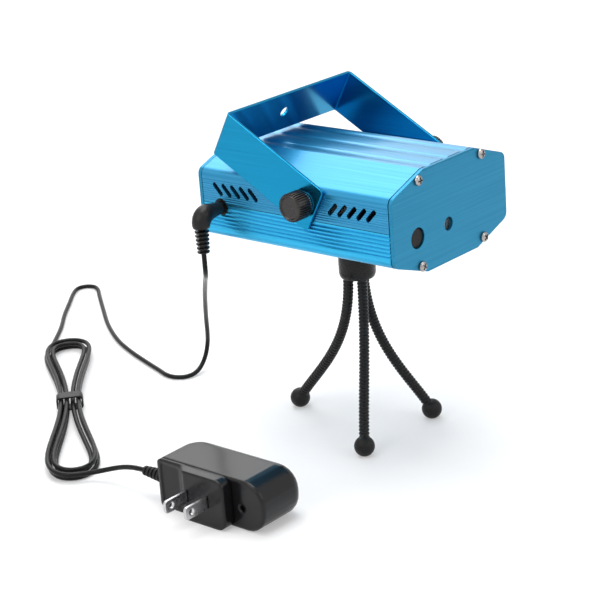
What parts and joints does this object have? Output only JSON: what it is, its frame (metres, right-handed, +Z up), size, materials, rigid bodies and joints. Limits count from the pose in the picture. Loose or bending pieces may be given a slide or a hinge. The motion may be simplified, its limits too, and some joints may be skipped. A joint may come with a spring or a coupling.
{
  "type": "mini stage light projector",
  "caption": "Compact stage light projector: eight-sided ribbed aluminium case in a tilting U-yoke on a bendable tripod, with power lead and adapter.",
  "frame": {"origin": "centre of the projector's footprint, on the surface that the tripod's feet stand on", "axes": "+Z up, -Y towards the front plate, +X to the right seen from the front"},
  "size_m": [0.2247, 0.3543, 0.1721],
  "materials": {
    "blue_anodised": "brushed, anodised blue",
    "blue_plate": "brushed, anodised blue",
    "steel": "plated",
    "black_plastic": "fine texture",
    "black_sleeve": "ribbed black steel hose",
    "black_rubber": "matt",
    "bare_aluminium": "machined",
    "brass": "turned",
    "board": "green laminate",
    "clear": "polished"
  },
  "bodies": {
    "projector": {"upper_shell": "blue_anodised", "lower_shell": "blue_anodised", "front_plate": "blue_plate", "rear_plate": "blue_plate", "front_screw_1": "steel", "front_screw_2": "steel", "front_screw_3": "steel", "front_screw_4": "steel", "rear_screw_1": "steel", "rear_screw_2": "steel", "rear_screw_3": "steel", "rear_screw_4": "steel", "left_pivot_nut": "steel", "right_pivot_nut": "steel", "tripod_nut": "steel", "grating_motor": "steel", "mode_switch": "steel", "speed_control": "steel", "dc_jack": "black_plastic", "mic_grommet": "black_rubber", "laser_heat_sink": "bare_aluminium", "motor_bracket": "bare_aluminium", "mic_capsule": "bare_aluminium", "green_laser": "brass", "red_laser": "brass", "circuit_board": "board", "aperture_window": "clear", "beam_combiner": "clear"},
    "yoke": {"yoke_bracket": "blue_anodised", "left_washer": "steel", "right_washer": "steel"},
    "left_knob": {"left_knob": "black_plastic"},
    "right_knob": {"right_knob": "black_plastic"},
    "grating": {"grating_disc": "clear"},
    "mode_slider": {"mode_slider": "black_plastic"},
    "speed_knob": {"speed_knob": "black_plastic"},
    "tripod": {"tripod_hub": "black_plastic", "tripod_stud": "steel"},
    "leg_1": {"leg_1": "black_sleeve", "foot_1": "black_rubber"},
    "leg_2": {"leg_2": "black_sleeve", "foot_2": "black_rubber"},
    "leg_3": {"leg_3": "black_sleeve", "foot_3": "black_rubber"},
    "power_lead": {"dc_plug": "black_plastic", "plug_barrel": "steel", "cord_free": "black_rubber", "cord_hank": "black_rubber", "hank_tie": "black_plastic", "cord_tail": "black_rubber", "adapter_strain_relief": "black_rubber", "adapter_case": "black_plastic", "adapter_cover": "black_plastic", "near_blade": "steel", "far_blade": "steel"}
  },
  "joints": [
    {"name": "yoke_tilt", "type": "hinge", "parent": "projector", "child": "yoke", "pos_m": [0, -0.01065, 0.1335], "axis": [1, 0, 0], "range_deg": [0, 151]},
    {"name": "left_knob_turn", "type": "hinge", "parent": "projector", "child": "left_knob", "pos_m": [-0.0484, -0.01065, 0.1335], "axis": [1, 0, 0], "range_deg": [0, 360]},
    {"name": "right_knob_turn", "type": "hinge", "parent": "projector", "child": "right_knob", "pos_m": [0.0484, -0.01065, 0.1335], "axis": [1, 0, 0], "range_deg": [0, 360]},
    {"name": "tripod_turn", "type": "hinge", "parent": "projector", "child": "tripod", "pos_m": [0, -0.00165, 0.0995], "axis": [0, 0, 1], "range_deg": [-180, 180]},
    {"name": "mode_slide", "type": "slide", "parent": "projector", "child": "mode_slider", "axis": [1, 0, 0], "range_m": [-0.0025, 0.0025]},
    {"name": "speed_turn", "type": "hinge", "parent": "projector", "child": "speed_knob", "pos_m": [0.015, 0.05865, 0.1185], "axis": [0, 1, 0], "range_deg": [-140, 140]},
    {"name": "grating_spin", "type": "hinge", "parent": "projector", "child": "grating", "pos_m": [-0.0025, -0.05435, 0.1285], "axis": [0, 1, 0], "continuous": true},
    {"name": "plug_pull", "type": "slide", "parent": "projector", "child": "power_lead", "axis": [-1, 0, 0], "range_m": [0, 0.018]},
    {"name": "leg_1_bend", "type": "hinge", "parent": "tripod", "child": "leg_1", "pos_m": [-0.00274, 0.00241, 0.0832], "axis": [0.999, -0.0436, 0], "range_deg": [-8, 15]},
    {"name": "leg_2_bend", "type": "hinge", "parent": "tripod", "child": "leg_2", "pos_m": [-0.00215, -0.00605, 0.0832], "axis": [-0.5948, 0.8039, 0], "range_deg": [-8, 15]},
    {"name": "leg_3_bend", "type": "hinge", "parent": "tripod", "child": "leg_3", "pos_m": [0.00489, -0.00131, 0.0832], "axis": [-0.6652, -0.7466, 0], "range_deg": [-8, 15]}
  ]
}
